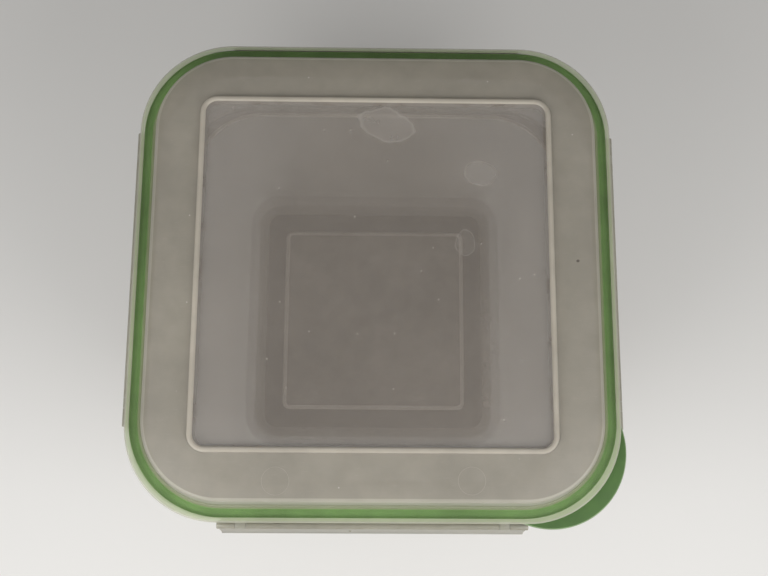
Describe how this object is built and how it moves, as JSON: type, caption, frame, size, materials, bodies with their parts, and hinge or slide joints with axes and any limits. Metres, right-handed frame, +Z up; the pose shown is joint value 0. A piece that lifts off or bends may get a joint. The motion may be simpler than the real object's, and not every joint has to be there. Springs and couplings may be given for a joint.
{
  "type": "food storage box",
  "caption": "Square translucent food box with a deep tapered bowl, raised lid, green seal ring with a pull tab, and hinged side latches.",
  "frame": {"origin": "on the surface the box stands on, under the middle of the box", "axes": "+Z up through the lid, -Y towards the front latch, +X towards the right latch; the pull tab is at +X -Y"},
  "size_m": [0.2144, 0.2144, 0.1548],
  "materials": {
    "bowl_plastic": "translucent, smooth",
    "lid_plastic": "translucent, frosted",
    "latch_plastic": "translucent, satin",
    "seal_green": "soft, satin"
  },
  "bodies": {
    "bowl": {"bowl": "bowl_plastic"},
    "lid": {"lid": "lid_plastic", "gasket": "seal_green"},
    "latch_front": {"latch_front": "latch_plastic"},
    "latch_back": {"latch_back": "latch_plastic"},
    "latch_left": {"latch_left": "latch_plastic"},
    "latch_right": {"latch_right": "latch_plastic"}
  },
  "joints": [
    {"name": "lid_lift", "type": "slide", "parent": "bowl", "child": "lid", "axis": [0, 0, 1], "range_m": [0, 0.0375]},
    {"name": "latch_front_hinge", "type": "hinge", "parent": "lid", "child": "latch_front", "pos_m": [0, -0.10125, 0.13355], "axis": [-1, 0, 0], "range_deg": [0, 150]},
    {"name": "latch_back_hinge", "type": "hinge", "parent": "lid", "child": "latch_back", "pos_m": [0, 0.10125, 0.13355], "axis": [1, 0, 0], "range_deg": [0, 150]},
    {"name": "latch_left_hinge", "type": "hinge", "parent": "lid", "child": "latch_left", "pos_m": [-0.10125, 0, 0.13355], "axis": [0, 1, 0], "range_deg": [0, 150]},
    {"name": "latch_right_hinge", "type": "hinge", "parent": "lid", "child": "latch_right", "pos_m": [0.10125, 0, 0.13355], "axis": [0, -1, 0], "range_deg": [0, 150]}
  ],
  "couplings": [
    {"joint": "latch_front_hinge", "follows": "lid_lift", "rad_per_m": 69.813},
    {"joint": "latch_back_hinge", "follows": "lid_lift", "rad_per_m": 69.813},
    {"joint": "latch_left_hinge", "follows": "lid_lift", "rad_per_m": 69.813},
    {"joint": "latch_right_hinge", "follows": "lid_lift", "rad_per_m": 69.813}
  ]
}
